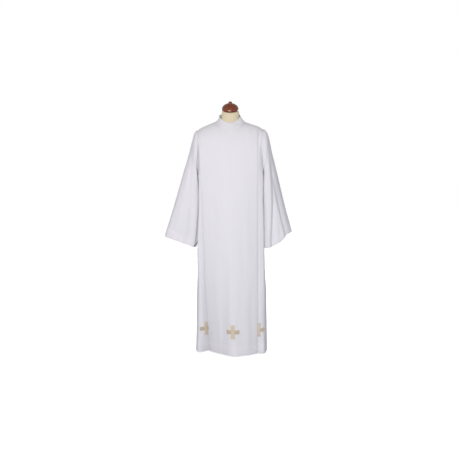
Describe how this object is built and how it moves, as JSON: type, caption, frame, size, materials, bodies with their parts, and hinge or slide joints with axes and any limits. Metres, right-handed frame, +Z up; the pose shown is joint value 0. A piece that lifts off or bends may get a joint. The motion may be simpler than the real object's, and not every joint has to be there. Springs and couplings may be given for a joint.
{
  "type": "alb robe on a dress form",
  "caption": "Long white alb robe with a stand collar, wide sleeves and embroidered crosses above the hem, worn on a limbless dress form with a turned cap and a hidden foot.",
  "frame": {"origin": "middle of the underside of the stand's round foot, on the pole's axis", "axes": "+Z up along the pole, the robe's front faces -Y, +X towards the wearer's left"},
  "size_m": [0.7956, 0.3707, 1.5536],
  "materials": {
    "alb_cloth": "plain white polyester, soft matt",
    "cross_thread": "gold and beige embroidery thread, satin",
    "form_jersey": "cream jersey stretched on the form",
    "cap_wood": "turned, stained mahogany brown, gloss varnish",
    "stand_steel": "satin"
  },
  "bodies": {
    "root": {"front_panel": "alb_cloth", "back_panel": "alb_cloth", "sleeve_left": "alb_cloth", "sleeve_right": "alb_cloth", "collar": "alb_cloth", "cross_front_middle": "cross_thread", "cross_front_left": "cross_thread", "cross_front_right": "cross_thread", "cross_back_middle": "cross_thread", "cross_back_left": "cross_thread", "cross_back_right": "cross_thread", "form_torso": "form_jersey", "neck_cap": "cap_wood", "stand_pole": "stand_steel", "stand_foot": "stand_steel"}
  },
  "joints": []
}
